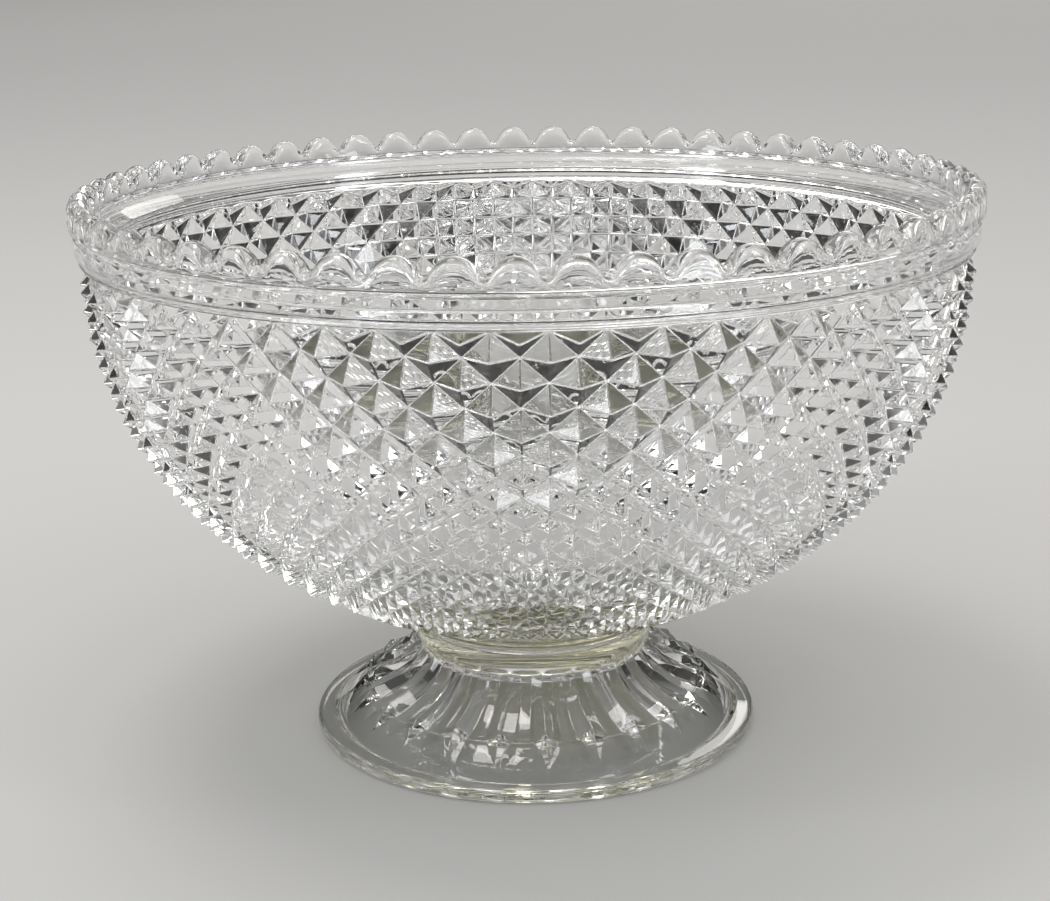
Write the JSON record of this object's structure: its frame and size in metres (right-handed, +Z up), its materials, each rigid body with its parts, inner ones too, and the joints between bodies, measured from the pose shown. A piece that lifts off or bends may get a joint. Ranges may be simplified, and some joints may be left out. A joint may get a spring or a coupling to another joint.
{
  "type": "fruit bowl",
  "caption": "Clear pressed-glass fruit bowl with a scalloped rim, a diamond-point wall and a flared rayed foot, joined at a round wafer.",
  "frame": {"origin": "middle of the flat ring under the foot, at the height of the table", "axes": "+Z up along the axis of the bowl, -Y towards the front, where a scallop of the rim points"},
  "size_m": [0.2304, 0.2304, 0.147],
  "materials": {
    "clear_glass": "fire-polished clear pressed glass with a faint straw tint where it is thick"
  },
  "bodies": {
    "root": {"bowl": "clear_glass", "wafer": "clear_glass", "foot": "clear_glass"}
  },
  "joints": []
}
